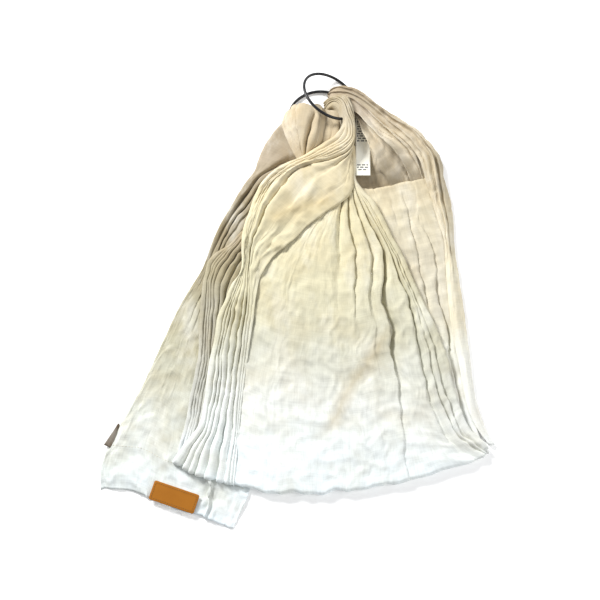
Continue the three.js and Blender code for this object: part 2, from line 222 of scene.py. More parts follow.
def turned_under(grid, turn, side):
    """The grid with one edge carried round and under, as a folded edge of cloth is."""
    if turn is None:
        return grid
    if side in ("top", "bottom"):
        grid = grid.transpose(1, 0, 2)
    if side in ("left", "top"):
        grid = grid[:, ::-1]
    edge = grid[:, -1]
    outward = edge - grid[:, -4]
    outward[:, 2] = 0
    window = np.ones(9) / 9
    padded = np.pad(unit(outward), ((4, 4), (0, 0)), mode="edge")
    outward = unit(np.stack([np.convolve(padded[:, k], window, "valid") for k in range(3)], axis=1))
    floor = profile(turn.floor, np.linspace(0, 1, len(edge))) * MM
    radius = np.clip((edge[:, 2] - floor) / 2, 0.3 * MM, None)[:, None]
    down = np.array([0, 0, -1.0])
    extra = []
    for angle in np.linspace(0, math.pi, 9)[1:]:
        bulge = outward * np.minimum(radius, 6 * MM) * math.sin(angle)
        extra.append(edge + bulge + down * radius * (1 - math.cos(angle)))
    round_end = extra[-1]
    for share in (0.5, 1.0):
        extra.append(round_end - outward * turn.tuck * MM * share)
    grid = np.concatenate([grid, np.stack(extra, axis=1)], axis=1)
    if side in ("left", "top"):
        grid = grid[:, ::-1]
    if side in ("top", "bottom"):
        grid = grid.transpose(1, 0, 2)
    return grid


def crumple(a, b, seed):
    """The height of hard-edged creases and soft dents, from about -1 to 1; a and b are in millimetres."""
    dents = noise(a / 34, b / 42, seed) + 0.5 * noise(a / 16, b / 21, seed + 1)
    wide = (1 - np.abs(noise(a / 27 + 0.4 * dents, b / 37, seed + 2))) ** 5
    narrow = (1 - np.abs(noise(a / 14 - b / 90, b / 19 + 0.3 * dents, seed + 3))) ** 4
    tiny = noise(a / 7, b / 9, seed + 4)
    return 0.8 * dents + 0.8 * wide + 0.5 * narrow + 0.22 * tiny - 0.5


def wrinkle(a, b, seed):
    """The height of wrinkles that run along the cloth, from about 0 to 1."""
    bend = noise(a / 40, b / 60, seed)
    long = (1 - np.abs(noise(a / 11 + 1.2 * bend, b / 75, seed + 1))) ** 4
    short = (1 - np.abs(noise(a / 6 + 1.5 * bend, b / 34, seed + 2))) ** 4
    return 0.65 * long + 0.4 * short


def pleated(guide, places, turns, depths, leans, crisps, shares):
    """The guide's surface, the pleated one, and each point's direction across and width of pleat."""
    base = across(guide, places)
    low = np.maximum(places - 0.01, 0)
    high = np.minimum(places + 0.01, guide.shape[1] - 1)
    beside = across(guide, high) - across(guide, low)
    width = np.linalg.norm(beside, axis=-1) / (high - low) * shares
    sideways = unit(beside)
    rise = 1 - np.abs(np.cos(math.pi * turns)) ** crisps
    depth = np.minimum(depths, 1.5 * width)
    leaning = leans * width * rise * np.clip(depth / (1.5 * MM), 0, 1)
    grid = base + sideways * leaning[..., None]
    grid += normals(base) * (depth * (rise - 1))[..., None]
    return base, grid, sideways, width


def wrinkledness(folds, places, v):
    """How wrinkled each point is, changing evenly from the middle of one fold to the next one's."""
    strengths = np.stack([profile(fold.wrinkles, v) for fold in folds], axis=1)
    between = np.clip(places - 0.5, 0, len(folds) - 1)
    first = np.minimum(np.floor(between).astype(int), max(len(folds) - 2, 0))
    second = np.minimum(first + 1, len(folds) - 1)
    strength = np.take_along_axis(strengths, first, axis=1) * (1 - between + first)
    return strength + np.take_along_axis(strengths, second, axis=1) * (between - first)


def cloth(lines, folds, seed, *, crumples=0.7, sway=1.5, wave=1.2,
          left=None, right=None, top=None, bottom=None, keep_low=0.6):
    """A pleated, crumpled cloth through lines given from left to right: a grid of points, in metres.

    Folds sway to and fro sideways, and the cloth's end is wavy; both are in millimetres."""
    longest = max(lengths(np.array(line, float) * MM)[-1] for line in lines)
    rows = max(12, round(longest / ROW_STEP))
    guide = np.stack([route(line, rows) for line in lines], axis=1)
    widths = np.linalg.norm(np.diff(guide, axis=1), axis=-1).max(axis=0)
    v = np.linspace(0, 1, rows)
    places, *pleats = columns(folds, widths, v, seed, left is not None, right is not None)
    base, grid, sideways, width = pleated(guide, places, *pleats)

    mean_width = np.linalg.norm(np.diff(base, axis=1), axis=-1).mean(axis=0)
    a = np.concatenate([[0], np.cumsum(mean_width)])[None, :] / MM  # millimetres across the cloth
    b = (v * longest / MM)[:, None]                                 # and along it
    fade = np.clip(width / np.maximum(width.mean(axis=0, keepdims=True), 1e-6), 0.3, 1.2)
    inside = np.minimum(1, 12 * np.minimum(places, len(folds) - places) / len(folds))
    wander = noise(a / 30, b / 38, seed + 3) + 0.6 * noise(a / 14, b / 17, seed + 4)
    grid += sideways * (sway * MM * wander * fade * (0.35 + 0.65 * inside))[..., None]
    lengthways = unit(np.gradient(grid, axis=0))
    ripple = noise(a / 26, b / 300, seed + 9) + 0.5 * noise(a / 9, b / 300, seed + 10)
    grid += lengthways * (wave * MM * ripple * v[:, None] ** 4)[..., None]

    height = wrinkledness(folds, places, v) * wrinkle(a, b, seed + 5)
    height += profile(crumples, v)[:, None] * crumple(a, b, seed + 20)
    grid += normals(grid) * (height * MM * fade)[..., None]
    for turn, side in ((left, "left"), (right, "right"), (top, "top"), (bottom, "bottom")):
        grid = turned_under(grid, turn, side)
    grid[..., 2] = np.maximum(grid[..., 2], keep_low * MM)
    return grid


def mesh_object(name, points, faces, smooth=True):
    mesh = bpy.data.meshes.new(name)
    mesh.from_pydata(points.reshape(-1, 3).tolist(), [], faces)
    mesh.polygons.foreach_set("use_smooth", [smooth] * len(mesh.polygons))
    made = bpy.data.objects.new(name, mesh)
    bpy.context.scene.collection.objects.link(made)
    return made


def grid_faces(rows, cols, closed_rows=False, closed_cols=False):
    i, j = np.meshgrid(
        np.arange(rows - (not closed_rows)), np.arange(cols - (not closed_cols)), indexing="ij"
    )
    right, down = (j + 1) % cols, (i + 1) % rows
    corners = [i * cols + j, down * cols + j, down * cols + right, i * cols + right]
    return np.stack(corners, axis=-1).reshape(-1, 4).tolist()


def uv_map(made, name, values):
    layer = made.data.uv_layers.new(name=name)
    index = np.empty(len(made.data.loops), int)
    made.data.loops.foreach_get("vertex_index", index)
    layer.data.foreach_set("uv", values.reshape(-1, 2)[index].astype(np.float32).ravel())


def cloth_object(name, grid, material, thickness=CLOTH_THICKNESS):
    """A sheet of cloth on a grid of points, with its weave and its place on the dyed cloth as UV maps."""
    rows, cols = grid.shape[:2]
    made = mesh_object(name, grid, grid_faces(rows, cols))
    beside = np.linalg.norm(np.diff(grid, axis=1), axis=-1).mean(axis=0)
    below = np.linalg.norm(np.diff(grid, axis=0), axis=-1).mean(axis=1)
    a = np.concatenate([[0], np.cumsum(beside)])
    b = np.concatenate([[0], np.cumsum(below)])
    weave = np.stack(np.broadcast_arrays(a[None, :], b[:, None]), axis=-1)
    uv_map(made, "weave", weave)
    uv_map(made, "place", grid[..., :2])
    solid = made.modifiers.new("thickness", "SOLIDIFY")
    solid.thickness = thickness
    solid.offset = 0
    made.data.materials.append(material)
    return made


# ---------------------------------------------------------------- materials

class Look:
    """A new material, with a short call for each kind of node that it is made of."""

    def __init__(self, name):
        self.material = bpy.data.materials.new(name)
        self.material.use_nodes = True
        self.nodes = self.material.node_tree.nodes
        self.links = self.material.node_tree.links
        self.shader = self.nodes["Principled BSDF"]

    def put(self, socket, value):
        """Sets a socket to a number or a colour, or links another node's output to it."""
        if isinstance(value, (int, float)):
            socket.default_value = value
        elif isinstance(value, tuple):
            socket.default_value = (*value, 1)
        else:
            self.links.new(value, socket)

    def give(self, name, value):
        """Sets or links one of the shader's own sockets."""
        self.put(self.shader.inputs[name], value)

    def node(self, kind, **inputs):
        """A new node whose inputs of one word each are set or linked."""
        made = self.nodes.new("ShaderNode" + kind)
        for name, value in inputs.items():
            self.put(made.inputs[name], value)
        return made

    def math(self, operation, *values):
        node = self.node("Math")
        node.operation = operation
        for socket, value in zip(node.inputs, values):
            self.put(socket, value)
        return node.outputs[0]

    def product(self, first, *others):
        for other in others:
            first = self.math("MULTIPLY", first, other)
        return first

    def scaled(self, vector, scale, offset=(0, 0, 0)):
        node = self.node("Mapping", Vector=vector)
        node.inputs["Scale"].default_value = scale
        node.inputs["Location"].default_value = offset
        return node.outputs[0]

    def noise(self, vector, scale, detail=2.0, roughness=0.5):
        """Smooth noise from 0 to 1, with scale bumps to each unit of the vector."""
        node = self.node("TexNoise", Vector=vector, Scale=scale, Detail=detail, Roughness=roughness)
        return node.outputs["Fac"]

    def spread(self, value, low, high, to_low=0.0, to_high=1.0):
        """A value's stretch from low to high laid out from to_low to to_high, and kept inside it."""
        node = self.node("MapRange", Value=value)
        for socket, number in zip(node.inputs[1:5], (low, high, to_low, to_high)):
            socket.default_value = number
        return node.outputs["Result"]

    def mixed(self, factor, first, second, blend="MIX"):
        node = self.node("Mix")
        node.data_type = "RGBA"
        node.blend_type = blend
        for index, value in ((0, factor), (6, first), (7, second)):
            self.put(node.inputs[index], value)
        return node.outputs[2]

    def ramp(self, value, stops):
        """A colour read between stops, which are (place from 0 to 1, colour) pairs."""
        node = self.node("ValToRGB", Fac=value)
        elements = node.color_ramp.elements
        while len(elements) < len(stops):
            elements.new(0.5)
        for element, (place, colour) in zip(elements, stops):
            element.position = place
            element.color = (*colour, 1)
        return node.outputs["Color"]

    def grey(self, value):
        return self.node("CombineColor", Red=value, Green=value, Blue=value).outputs[0]

    def split(self, vector):
        return self.node("SeparateXYZ", Vector=vector).outputs

    def uv(self, name):
        node = self.node("UVMap")
        node.uv_map = name
        return node.outputs[0]

    def own_place(self):
        return self.node("TexCoord").outputs["Object"]

    def bump(self, height, strength, distance):
        node = self.node("Bump", Strength=strength, Distance=distance, Height=height)
        self.give("Normal", node.outputs[0])


DYE_LOW, DYE_HIGH = -0.32, 0.32  # the stretch of Y that the dye's colours are given over


def dye_stops(tones):
    """(Y in millimetres, colour) pairs as a colour ramp's stops, from low Y to high Y."""
    span = DYE_HIGH - DYE_LOW
    return [((y * MM - DYE_LOW) / span, colour) for y, colour in sorted(tones)]


def streak_mask(look, place, start, end, half_width):
    """How strongly a darker streak between two points (in metres) shows, from 0 to 1."""
    (x0, y0), (x1, y1) = start, end
    length = math.hypot(x1 - x0, y1 - y0)
    cosine, sine = (x1 - x0) / length, (y1 - y0) / length
    bent = look.scaled(place, (1, 1, 1), (5, 2, 1))
    bend = look.spread(look.noise(bent, 20, 3), 0, 1, -0.02, 0.02)
    parts = look.split(place)
    x = look.math("SUBTRACT", look.math("ADD", parts[0], bend), x0)
    y = look.math("SUBTRACT", parts[1], y0)
    along = look.math("MULTIPLY_ADD", y, sine, look.math("MULTIPLY", x, cosine))
    aside = look.math("MULTIPLY_ADD", y, -cosine, look.math("MULTIPLY", x, sine))
    near = look.spread(look.math("ABSOLUTE", aside), 0, half_width, 1, 0)
    middle = look.math("ABSOLUTE", look.math("SUBTRACT", along, length / 2))
    inside = look.spread(middle, 0.35 * length, 0.6 * length, 1, 0)
    return look.product(near, inside)


def dyed(look, place, tones, seed, cloudy, dark_streak):
    """The dye's colour: a gradient along Y, warped and marbled with darker clouds and paler patches."""
    shifted = look.scaled(place, (1, 1, 1), (seed * 1.7, seed * 0.9, seed))
    warp = look.spread(look.noise(shifted, 7, 3), 0, 1, -0.07, 0.07)
    fine_warp = look.spread(look.noise(shifted, 28, 3), 0, 1, -0.018, 0.018)
    y = look.math("ADD", look.math("ADD", look.split(place)[1], warp), fine_warp)
    colour = look.ramp(look.spread(y, DYE_LOW, DYE_HIGH), dye_stops(tones))
    cloud = look.spread(look.noise(shifted, 17, 4, 0.6), 0.44, 0.62)
    colour = look.mixed(look.product(cloud, cloudy), colour, (0.84, 0.76, 0.62), "MULTIPLY")
    drift = look.scaled(shifted, (1, 0.5, 1), (3.1, 1.3, 0))
    pale = look.spread(look.noise(drift, 26, 4, 0.6), 0.5, 0.7, 0, 0.6 * cloudy)
    colour = look.mixed(pale, colour, (0.95, 0.96, 0.92), "SCREEN")
    if dark_streak:
        strength = look.product(streak_mask(look, place, *dark_streak), 0.9)
        colour = look.mixed(strength, colour, (0.83, 0.76, 0.65), "MULTIPLY")
    return colour


def linen(name, tones, seed, cloudy=0.35, dark_streak=None):
    """Slubby linen, dyed in a gradient along the sling with soft marbled clouds."""
    look = Look(name)
    weave = look.uv("weave")
    colour = dyed(look, look.uv("place"), tones, seed, cloudy, dark_streak)
    drift = look.scaled(weave, (1, 0.25, 1), (seed, 1.3, 0))
    mottle = look.spread(look.noise(drift, 130, 5, 0.6), 0.35, 0.65, 0.92, 1.04)
    colour = look.mixed(1.0, colour, look.grey(mottle), "MULTIPLY")

    warp_threads = look.noise(look.scaled(weave, (900, 26, 1)), 1, 1)
    weft_threads = look.noise(look.scaled(weave, (26, 900, 1)), 1, 1)
    threads = look.math("ADD", warp_threads, weft_threads)
    slub = look.spread(threads, 0.6, 1.4, 0.90, 1.06)
    look.give("Base Color", look.mixed(1.0, colour, look.grey(slub), "MULTIPLY"))

    streaks = look.noise(look.scaled(weave, (330, 18, 1)), 1, 2)
    crush = look.noise(look.scaled(weave, (1, 0.32, 1)), 150, 6, 0.6)
    height = look.math("ADD", look.product(streaks, 0.5), look.product(threads, 0.5))
    look.bump(look.math("ADD", height, look.product(crush, 3.2)), 0.7, 0.4 * MM)
    look.give("Roughness", look.spread(threads, 0.6, 1.4, 0.95, 0.8))
    look.give("Specular IOR Level", 0.2)
    look.give("Sheen Weight", 0.12)
    look.give("Sheen Roughness", 0.5)
    return look.material


def ring_metal():
    """Black anodised aluminium with faint handling marks."""
    look = Look("black_anodised")
    place = look.own_place()
    marks = look.noise(place, 90, 4)
    look.give("Base Color", look.mixed(marks, (0.006, 0.006, 0.007), (0.016, 0.016, 0.018)))
    look.give("Roughness", look.spread(marks, 0.3, 0.7, 0.3, 0.46))
    look.give("Specular IOR Level", 0.35)
    look.bump(look.noise(place, 1800, 2), 0.12, 0.05 * MM)
    return look.material


def leather():
    """Caramel vegetable-tanned leather with a fine grain."""
    look = Look("caramel_leather")
    place = look.own_place()
    clouds = look.noise(place, 55, 4)
    colour = look.mixed(clouds, (0.29, 0.098, 0.003), (0.40, 0.145, 0.005))
    cells = look.node("TexVoronoi", Vector=place, Scale=1300).outputs["Distance"]
    pores = look.spread(cells, 0.0, 0.25, 0.72, 1.0)
    look.give("Base Color", look.mixed(1.0, colour, look.grey(pores), "MULTIPLY"))
    look.bump(cells, 0.5, 0.15 * MM)
    look.give("Roughness", look.spread(clouds, 0.3, 0.7, 0.5, 0.64))
    look.give("Specular IOR Level", 0.3)
    return look.material


def satin():
    """A white satin care label with plain grey bars where its print would be."""
    look = Look("label_satin")
    place = look.uv("weave")
    across_mm, down_mm = (look.product(part, 1 / MM) for part in look.split(place)[:2])
    rows = look.math("DIVIDE", down_mm, 3.4)  # rows of bars 3.4 mm apart, in two blocks
    in_row = look.math("LESS_THAN", look.math("FRACT", rows), 0.6)
    shift = look.product(look.math("FLOOR", rows), 2.37)
    in_word = look.math("GREATER_THAN", look.math("SINE", look.math("ADD", across_mm, shift)), -0.75)
    after_left = look.math("GREATER_THAN", across_mm, 2)
    before_right = look.math("LESS_THAN", across_mm, 17)
    upper = look.math("LESS_THAN", down_mm, 36)
    lower = look.product(look.math("GREATER_THAN", down_mm, 68), look.math("LESS_THAN", down_mm, 77))
    printed = look.math("ADD", upper, lower)
    ink = look.product(in_row, in_word, after_left, before_right, printed, 0.85)
    white = look.mixed(look.noise(place, 60, 2), (0.99, 0.97, 0.84), (1.0, 0.99, 0.91))
    look.give("Base Color", look.mixed(ink, white, (0.05, 0.055, 0.06)))
    ribs = look.noise(look.scaled(place, (120, 3000, 1)), 1, 1)
    look.bump(ribs, 0.3, 0.08 * MM)
    look.give("Roughness", look.spread(ribs, 0.3, 0.7, 0.34, 0.5))
    return look.material


def cotton(name, colour):
    """Twisted sewing thread, with painted shade in darker stripes along its twist."""
    look = Look(name)
    twist = look.node("TexWave", Vector=look.own_place(), Scale=900, Distortion=1.0)
    # Painted shade: the darker stripes stand for the shade between the thread's twisted plies.
    ply_shade = tuple(0.75 * c for c in colour)
    look.give("Base Color", look.mixed(twist.outputs["Fac"], ply_shade, colour))
    look.give("Roughness", 0.8)
    return look.material


def floor_white():
    """A pale matt surface, barely mottled and softly lit from below, so that shadows on it stay light."""
    look = Look("floor_white")
    mottle = look.noise(look.own_place(), 3, 2)
    look.give("Base Color", look.mixed(mottle, (0.93, 0.93, 0.93), (0.95, 0.95, 0.95)))
    look.give("Roughness", 0.9)
    look.give("Emission Color", (1, 1, 1))
    look.give("Emission Strength", 0.16)
    return look.material


# ---------------------------------------------------------------- camera, light and floor

CAMERA_PLACE = Vector((0, -0.3437, 1.5750))
CAMERA_TARGET = Vector((0, -0.011, 0.010))
LENS, SENSOR = 72.18, 36        # millimetres
SHIFT_X, SHIFT_Y = 0.00583, 0.00417
FLOOR_REACH = 6


def aimed(made, target):
    """Turns an object that looks down its own -Z, so that it looks at a point."""
    made.rotation_euler = (target - made.location).to_track_quat("-Z", "Y").to_euler()


def make_camera():
    """Nearly straight above the sling, and a little to the seat's side of it."""
    camera = bpy.data.objects.new("camera", bpy.data.cameras.new("camera"))
    bpy.context.scene.collection.objects.link(camera)
    camera.location = CAMERA_PLACE
    aimed(camera, CAMERA_TARGET)
    camera.data.lens = LENS
    camera.data.sensor_width = SENSOR
    camera.data.shift_x = SHIFT_X
    camera.data.shift_y = SHIFT_Y
    camera.data.clip_end = 20
    bpy.context.scene.camera = camera


def area_light(name, place, size, power):
    light = bpy.data.lights.new(name, "AREA")
    light.size = size
    light.energy = power
    made = bpy.data.objects.new(name, light)
    bpy.context.scene.collection.objects.link(made)
    made.location = place
    aimed(made, Vector((0, 0, 0)))


def make_studio():
    """A key light beyond the rings on the left, a weak fill on the right, and a pale floor and sky."""
    area_light("key", (-1.1, 1.2, 1.1), size=0.5, power=57)
    area_light("fill", (1.5, -0.2, 1.2), size=0.9, power=15)
    world = bpy.data.worlds.new("studio")
    world.use_nodes = True
    sky = world.node_tree.nodes["Background"].inputs
    sky["Color"].default_value = (0.97, 0.985, 1, 1)
    sky["Strength"].default_value = 0.44
    bpy.context.scene.world = world
    bpy.context.scene.view_settings.view_transform = "Standard"
    corners = FLOOR_REACH * np.array([(-1, -1, 0), (1, -1, 0), (1, 1, 0), (-1, 1, 0)], float)
    floor = mesh_object("floor", corners, [(0, 1, 2, 3)], smooth=False)
    floor.data.materials.append(floor_white())


# ---------------------------------------------------------------- the sling's cloth

TAN = (0.50, 0.41, 0.28)
FRONT_TONES = [
    (290, (0.33, 0.27, 0.17)), (240, (0.41, 0.34, 0.22)), (195, (0.64, 0.55, 0.37)),
    (110, (0.66, 0.60, 0.41)), (20, (0.61, 0.57, 0.40)), (-70, (0.58, 0.57, 0.46)),
    (-150, (0.71, 0.72, 0.67)), (-250, (0.86, 0.93, 0.95)),
]
BACK_TONES = [
    (280, TAN), (200, (0.54, 0.46, 0.32)), (130, (0.62, 0.56, 0.41)), (40, (0.59, 0.54, 0.42)),
    (-60, (0.70, 0.68, 0.57)), (-150, (0.78, 0.79, 0.75)), (-250, (0.86, 0.89, 0.90)),
]
# Painted shade: the back's left pleats take the back's linen painted darker from Y 90 down, for the shadow
# they lie in beside the front's stack.
BACK_LEFT_SHADED_TONES = [
    (280, TAN), (90, (0.36, 0.29, 0.19)), (40, (0.38, 0.34, 0.23)), (-30, (0.40, 0.37, 0.28)),
    (-110, (0.50, 0.50, 0.45)), (-200, (0.72, 0.76, 0.78)),
]
# The long edge's dye gradient, painted lighter near Y 210 and darker near Y 160 as painted light and shade
# on the shoulder's folds.
SHOULDER_LIT_SHADED_TONES = [
    (300, (0.37, 0.30, 0.21)), (255, (0.47, 0.40, 0.29)), (210, (0.62, 0.54, 0.40)),
    (160, (0.54, 0.47, 0.34)), (60, (0.78, 0.72, 0.55)), (-80, (0.80, 0.78, 0.67)),
    (-220, (0.86, 0.88, 0.87)),
]
# The lobes' dye gradient, painted lighter near Y 215 as painted light on the lobes' faces, and darkest at Y
# 148 as painted shade in the hollow under their ends.
LOBE_LIT_SHADED_TONES = [
    (290, (0.36, 0.29, 0.20)), (255, (0.50, 0.42, 0.31)), (215, (0.70, 0.62, 0.47)),
    (180, (0.60, 0.52, 0.38)), (148, (0.33, 0.27, 0.18)),
]
WRAP_TONES = [(270, (0.42, 0.35, 0.24)), (220, (0.50, 0.42, 0.29)), (180, (0.56, 0.47, 0.32))]
TAIL_TONES = [
    (270, (0.34, 0.29, 0.21)), (180, (0.37, 0.31, 0.23)), (120, (0.33, 0.28, 0.19)),
    (50, (0.33, 0.29, 0.20)), (0, (0.39, 0.35, 0.24)), (-60, (0.46, 0.44, 0.32)),
    (-140, (0.57, 0.57, 0.48)), (-220, (0.67, 0.70, 0.66)), (-290, (0.82, 0.90, 0.95)),
]


def strap_cloth():
    """The strap that comes up through the rings and spreads down the sling's left front."""
    top_edge = [
        (39, 254, 14), (44, 262, 21), (51, 264, 28), (58, 257, 33), (62, 243, 35), (64, 230, 36),
        (57, 216, 36), (42, 204, 34), (11, 185, 32), (-10, 176, 31), (-36, 157, 30),
        (-50, 135, 28), (-59, 109, 27), (-66, 87, 26), (-69, 64, 25), (-72, 31, 24), (-80, 15, 23),
        (-88, -6, 21), (-98, -32, 20), (-103, -63, 19), (-110, -101, 18), (-115, -142, 16),
        (-121, -174, 15), (-138, -200, 14), (-153, -221, 12),
    ]
    outer_pleat = [
        (38, 269, 14), (46, 272, 24), (55, 268, 33), (63, 256, 42), (69, 240, 46), (74, 224, 42),
        (70, 208, 39), (42, 191, 36), (18, 180, 34), (-5, 169, 32), (-30, 152, 30), (-44, 128, 29),
        (-54, 104, 28), (-62, 80, 26), (-66, 56, 25), (-70, 27, 23), (-77, 3, 22), (-84, -19, 21),
        (-91, -50, 20), (-94, -80, 19), (-99, -125, 17), (-106, -165, 16), (-117, -203, 14),
        (-129, -234, 12),
    ]
    inner_pleat = [
        (48, 277, 8), (57, 277, 22), (66, 272, 32), (73, 259, 38), (77, 240, 41), (79, 220, 39),
        (77, 203, 37), (68, 190, 35), (50, 181, 34), (26, 175, 33), (3, 167, 32), (-15, 150, 31),
        (-29, 129, 30), (-41, 110, 29), (-53, 83, 27), (-60, 56, 25), (-63, 30, 24), (-64, 5, 22),
        (-66, -25, 21), (-70, -50, 20), (-75, -96, 18), (-80, -142, 16), (-83, -190, 15),
        (-91, -245, 12),
    ]
    big_fold = [
        (60, 279, 6), (68, 279, 18), (75, 271, 25), (78, 258, 27), (79, 245, 28), (77, 232, 28),
        (75, 215, 28), (74, 193, 26.5), (75, 165, 25), (73, 138, 24), (59, 120, 23.5), (42, 108, 23),
        (11, 85, 22.5), (-5, 72, 22.2), (-19, 62, 22), (-35, 45, 22), (-47, 25, 21.5),
        (-53, 0, 21), (-57, -40, 20), (-65, -96, 17), (-71, -142, 15), (-75, -190, 14), (-80, -248, 11),
    ]
    folds = [
        Folds(3, (2, 3, 4, 6, 7, 8, 8, 6), -0.4, 6, 0.4),
        Folds(3, (3, 5, 5, 5, 6, 8, 8, 7), -0.4, 6, 0.4),
        Folds(3, (3, 4, 1.6, 1.2, 0, 2, 1.5, 2), -0.2, 6, 1.0, (1, 1, 1.4, 1.8, 1.3, 0.6, 0.6, 0.6)),
    ]
    grid = cloth(
        [top_edge, outer_pleat, inner_pleat, big_fold], folds, seed=11, sway=1.8,
        crumples=(0.4, 0.5, 1.7, 2.0, 1.1, 0.6, 0.6),
        left=Turn((8, 12, 14, 12, 10, 9, 6)), right=Turn((6, 14, 21, 21, 20, 17, 11), 4),
        bottom=Turn(1.5, 14),
    )
    return cloth_object("strap_cloth", grid, linen(
        "strap_linen", FRONT_TONES, 1, dark_streak=((-0.038, 0.098), (0.056, 0.133), 0.02)
    ))


def front_centre_cloth():
    """The front of the pouch: smooth in the middle, with a stack of pleats down its right side."""
    hidden = [
        (66, 205, 20), (62, 165, 19), (40, 120, 18), (5, 90, 17), (-30, 62, 16), (-56, 30, 16),
        (-70, 0, 15), (-76, -50, 14), (-84, -100, 13), (-90, -150, 12), (-94, -190, 11),
        (-100, -242, 9),
    ]
    left = [
        (68, 205, 21), (65, 165, 20), (48, 125, 20.5), (20, 85, 21), (0, 40, 21), (-15, -20, 20),
        (-25, -80, 19), (-30, -150, 18), (-32, -210, 16), (-33, -256, 12),
    ]
    middle = [
        (70, 205, 21), (68, 165, 21), (62, 130, 21.5), (57, 89, 22), (57, 40, 22), (56, -20, 20.5),
        (56, -80, 19), (58, -150, 18), (60, -210, 16), (61, -256, 12),
    ]
    wavy = [
        (71, 205, 22), (73, 165, 22), (80, 138, 22), (93, 105, 22), (106, 78, 22), (114, 55, 22),
        (115, 28, 22), (112, 0, 22), (117, -25, 21), (125, -46, 21), (122, -73, 20),
        (128, -95, 20), (132, -125, 19), (136, -170, 18), (140, -208, 16), (145, -240, 12),
    ]
    stack = [
        (73, 205, 22), (75, 165, 23), (83, 140, 23), (97, 112, 23), (115, 78, 23), (130, 42, 22),
        (143, 5, 21), (153, -28, 21), (158, -60, 20), (165, -100, 19), (174, -138, 18),
        (184, -168, 16), (201, -197, 14), (228, -217, 11),
    ]
    rail = [
        (75, 205, 22), (78, 154, 23), (88, 136, 23), (98, 125, 22), (113, 98, 21), (125, 73, 20),
        (138, 48, 19), (148, 22, 19), (160, -6, 18), (171, -35, 18), (183, -64, 17),
        (193, -94, 16), (199, -125, 16), (208, -155, 15), (221, -182, 14), (242, -202, 11),
    ]
    folds = [
        Folds(1, 0, wrinkles=(1, 1, 1, 0.8, 0.5)),
        Folds(1, 0, 0, 16, wrinkles=(1, 1, 1, 0.8, 0.4), last=(1.5, 4, 6, 2, 0, 0, 0, 0)),
        Folds(3, (1.5, 6, 7, 3, 0, 0, 0, 0), 0.22, 8, 0.2, (1, 1, 1, 0.8, 0.4),
              (1.5, 4, 8, 15, 15, 5, 2, 2)),
        Folds(1, 0, 0.1, 12, 0.4, (1, 1, 0.8, 0.8), (1.5, 4, 7, 8, 8, 6, 4, 3)),
        Folds(3, (1.5, 5, 6, 7, 6, 5), 0.4, 7, 0.3),
    ]
    grid = cloth(
        [hidden, left, middle, wavy, stack, rail], folds, seed=27, sway=2.2,
        crumples=(1.0, 1.1, 1.3, 1.4, 1.3), wave=4.5,
        right=Turn((12, 10, 9, 9, 9, 8)), bottom=Turn(1.5, 16),
    )
    return cloth_object("front_cloth", grid, linen(
        "front_linen", FRONT_TONES, 2, dark_streak=((0.120, -0.050), (0.035, -0.190), 0.016)
    ))


def back_cloth():
    """The back of the pouch, seen to the right of the front."""
    far_left = [
        (-30, 128, 5), (-60, 80, 5), (-85, 20, 5), (-95, -60, 5), (-105, -140, 5), (-120, -190, 4),
        (-135, -225, 3),
    ]
    under = [
        (70, 146, 8), (75, 110, 8), (82, 60, 8), (92, 0, 8), (108, -60, 8), (125, -120, 7),
        (150, -175, 6), (185, -222, 4),
    ]
    beside_front = [
        (104, 144, 10), (116, 100, 10), (134, 40, 10), (150, -20, 10), (168, -80, 10),
        (188, -135, 9), (208, -178, 8), (232, -208, 7),
    ]
    middle = [
        (142, 152, 10), (150, 110, 10), (161, 50, 10), (172, -10, 10), (184, -70, 10),
        (199, -130, 9), (217, -178, 8), (240, -207, 7),
    ]
    outer = [
        (178, 160, 9), (190, 125, 9), (201, 85, 9), (206, 45, 9), (209, 0, 9), (214, -50, 9),
        (221, -100, 8), (229, -150, 8), (239, -190, 7), (249, -208, 6),
    ]
    folds = [
        Folds(1, 0),
        Folds(1, 0, wrinkles=1.5),
        Folds(2, (0, 2, 4, 5, 5, 4), (0.2, 0.3, 0.3), 10, 0.9, 1.2),
        Folds(2, (0, 1.5, 3, 4, 5, 4), (0.1, 0.2, 0.2), 10, 1.0, 1.2),
    ]
    grid = cloth(
        [far_left, under, beside_front, middle, outer], folds, seed=41, sway=2.4,
        crumples=(1.6, 1.6, 1.5, 1.2), top=Turn(4.0, 6), bottom=Turn(1.2, 10),
    )
    return cloth_object("back_cloth", grid, linen("back_linen", BACK_TONES, 3))


